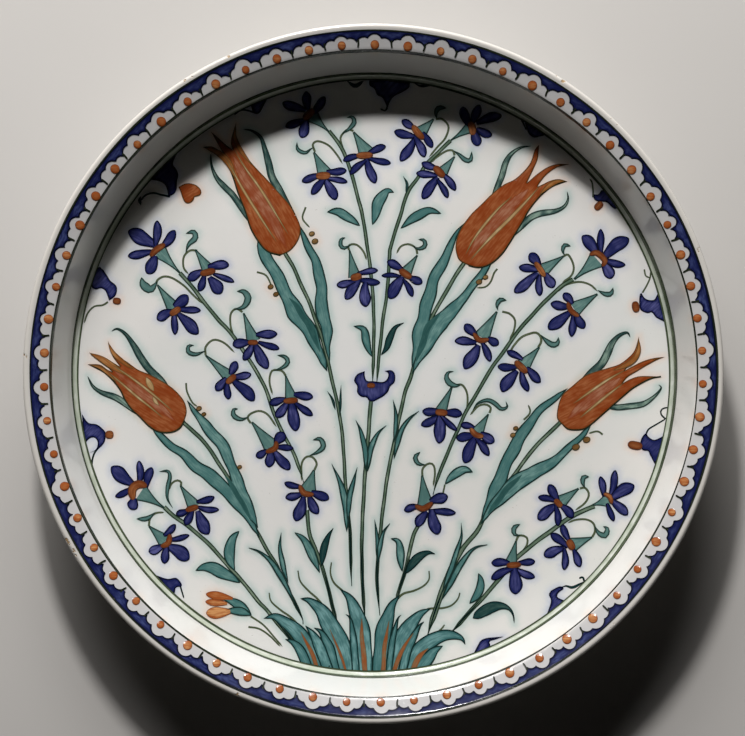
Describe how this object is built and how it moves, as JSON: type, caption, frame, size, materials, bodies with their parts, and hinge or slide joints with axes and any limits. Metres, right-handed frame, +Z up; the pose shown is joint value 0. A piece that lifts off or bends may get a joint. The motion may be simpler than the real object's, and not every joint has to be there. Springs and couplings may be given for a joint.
{
  "type": "painted ceramic dish",
  "caption": "Round straight-sided ceramic dish on a turned foot ring, painted with a spray of tulips and hyacinths inside a scalloped border.",
  "frame": {"origin": "centre of the foot ring's resting face", "axes": "+Z up, out of the dish, along its turning axis; +Y towards the top of the painted bouquet; +X to its right"},
  "size_m": [0.32, 0.32, 0.0465],
  "materials": {
    "stonepaste": "bare fired clay, buff, finely granular",
    "white_slip": "matte white slip",
    "clear_glaze": "glossy clear glaze over white",
    "red_bole": "raised orange-red clay slip under glaze",
    "cobalt_blue": "deep blue underglaze wash",
    "copper_green": "blue-green underglaze wash",
    "outline_black": "green-black underglaze line"
  },
  "bodies": {
    "root": {"stonepaste_body": "stonepaste", "white_slip": "white_slip", "clear_glaze": "clear_glaze", "recess_slip": "white_slip", "recess_glaze": "clear_glaze", "bole_tulip_upper_left": "red_bole", "bole_tulip_upper_right": "red_bole", "bole_tulip_left": "red_bole", "bole_tulip_right": "red_bole"}
  },
  "joints": []
}
